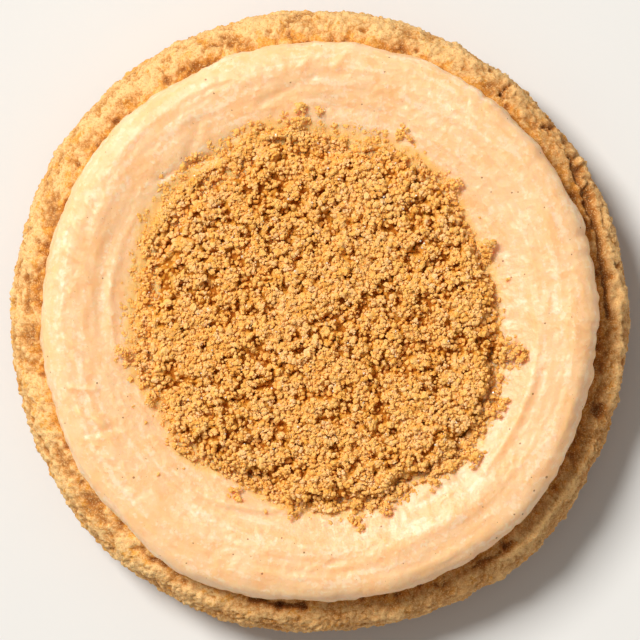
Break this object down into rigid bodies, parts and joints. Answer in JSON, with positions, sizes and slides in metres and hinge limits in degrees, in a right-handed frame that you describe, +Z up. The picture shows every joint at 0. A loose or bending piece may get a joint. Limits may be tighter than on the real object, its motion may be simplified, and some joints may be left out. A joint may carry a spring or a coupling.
{
  "type": "cheesecake cookie",
  "caption": "Round thick baked cookie with a rolled disc of cream cheese frosting and a low mound of biscuit crumbs on top.",
  "frame": {"origin": "on the surface the cookie rests on, under the middle of its outline's box", "axes": "+Z is up, out of the frosted top; +Y is the top edge of the picture and +X its right edge"},
  "size_m": [0.1094, 0.11, 0.0268],
  "materials": {
    "baked_cookie": "matte",
    "cream_cheese_frosting": "satin",
    "biscuit_crumbs": "matte"
  },
  "bodies": {
    "root": {"cookie_base": "baked_cookie", "frosting": "cream_cheese_frosting", "crumb_heap": "biscuit_crumbs"}
  },
  "joints": []
}
